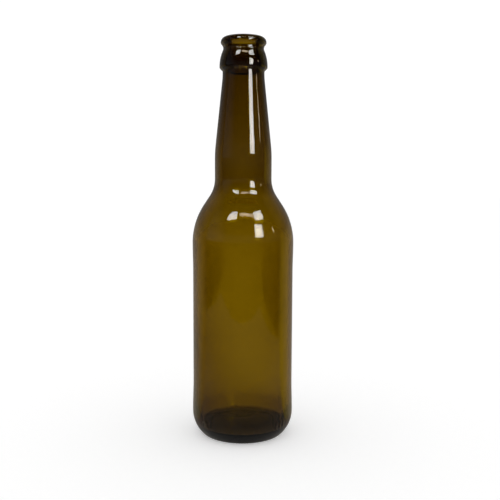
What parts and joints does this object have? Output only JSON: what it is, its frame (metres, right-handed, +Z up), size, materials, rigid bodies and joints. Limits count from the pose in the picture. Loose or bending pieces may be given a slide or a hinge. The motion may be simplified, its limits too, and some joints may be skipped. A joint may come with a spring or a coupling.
{
  "type": "long-neck beer bottle",
  "caption": "Empty long-neck bottle in brown glass, with an open crown finish for a cap, a rounded heel and a pushed-up base, for holding and pouring beer.",
  "frame": {"origin": "centre of the ring that the bottle stands on, in the plane of the table", "axes": "+Z up along the bottle's axis; the bottle is turned, so +X and +Y are free, and the reference view looks along +Y"},
  "size_m": [0.06, 0.06, 0.2338],
  "materials": {
    "brown_glass": "clear olive-brown container glass, smooth and glossy, with faint mould seams"
  },
  "bodies": {
    "root": {"bottle": "brown_glass"}
  },
  "joints": []
}
